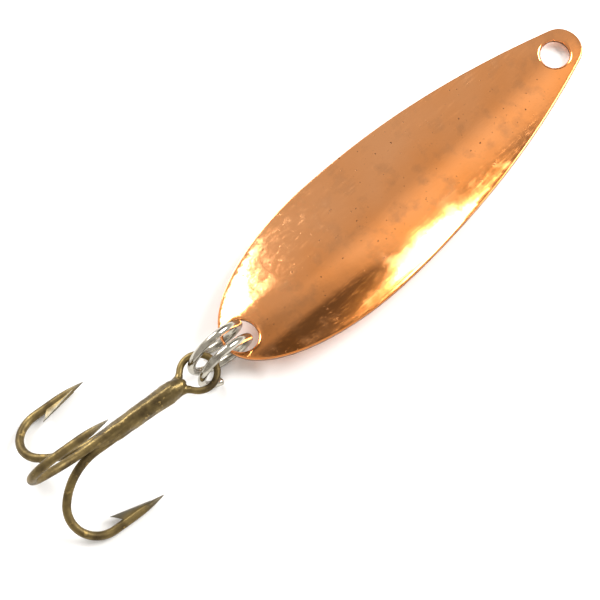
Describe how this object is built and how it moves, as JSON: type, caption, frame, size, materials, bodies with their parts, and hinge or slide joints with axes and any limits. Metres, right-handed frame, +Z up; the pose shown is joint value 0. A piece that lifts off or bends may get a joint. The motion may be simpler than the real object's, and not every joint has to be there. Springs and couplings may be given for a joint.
{
  "type": "spoon lure",
  "caption": "Casting spoon lure: a cupped copper-plated blade with a line-tie hole, and a treble hook hung from a split ring in its wide tail.",
  "frame": {"origin": "middle of the line-tie hole in the narrow head, half way through the blade's thickness", "axes": "+X along the blade from its wide tail to its narrow head, +Z up out of the cupped face along the line-tie hole, +Y to the blade's left side, with the lure lying as on a table"},
  "size_m": [0.0912, 0.0207, 0.0162],
  "materials": {
    "copper_plate": "polished, worn copper plate",
    "nickel_wire": "bright nickel plate",
    "bronzed_wire": "bronzed and lacquered, rubbed to brass on its high places",
    "braze": "bronzed over, slightly lumpy"
  },
  "bodies": {
    "blade": {"spoon_blade": "copper_plate"},
    "ring": {"split_ring": "nickel_wire"},
    "treble": {"double_hook_wire": "bronzed_wire", "single_hook_wire": "bronzed_wire", "shank_braze": "braze"}
  },
  "joints": [
    {"name": "ring_swing", "type": "hinge", "parent": "blade", "child": "ring", "pos_m": [-0.05833, 0.0002, 0.00322], "axis": [0.1305, 0.9914, 0], "range_deg": [-50, 50]},
    {"name": "hook_swing", "type": "hinge", "parent": "ring", "child": "treble", "pos_m": [-0.06089, -0.0002, 0.0044], "axis": [0.1305, 0.9914, 0], "range_deg": [-34, 40]}
  ]
}
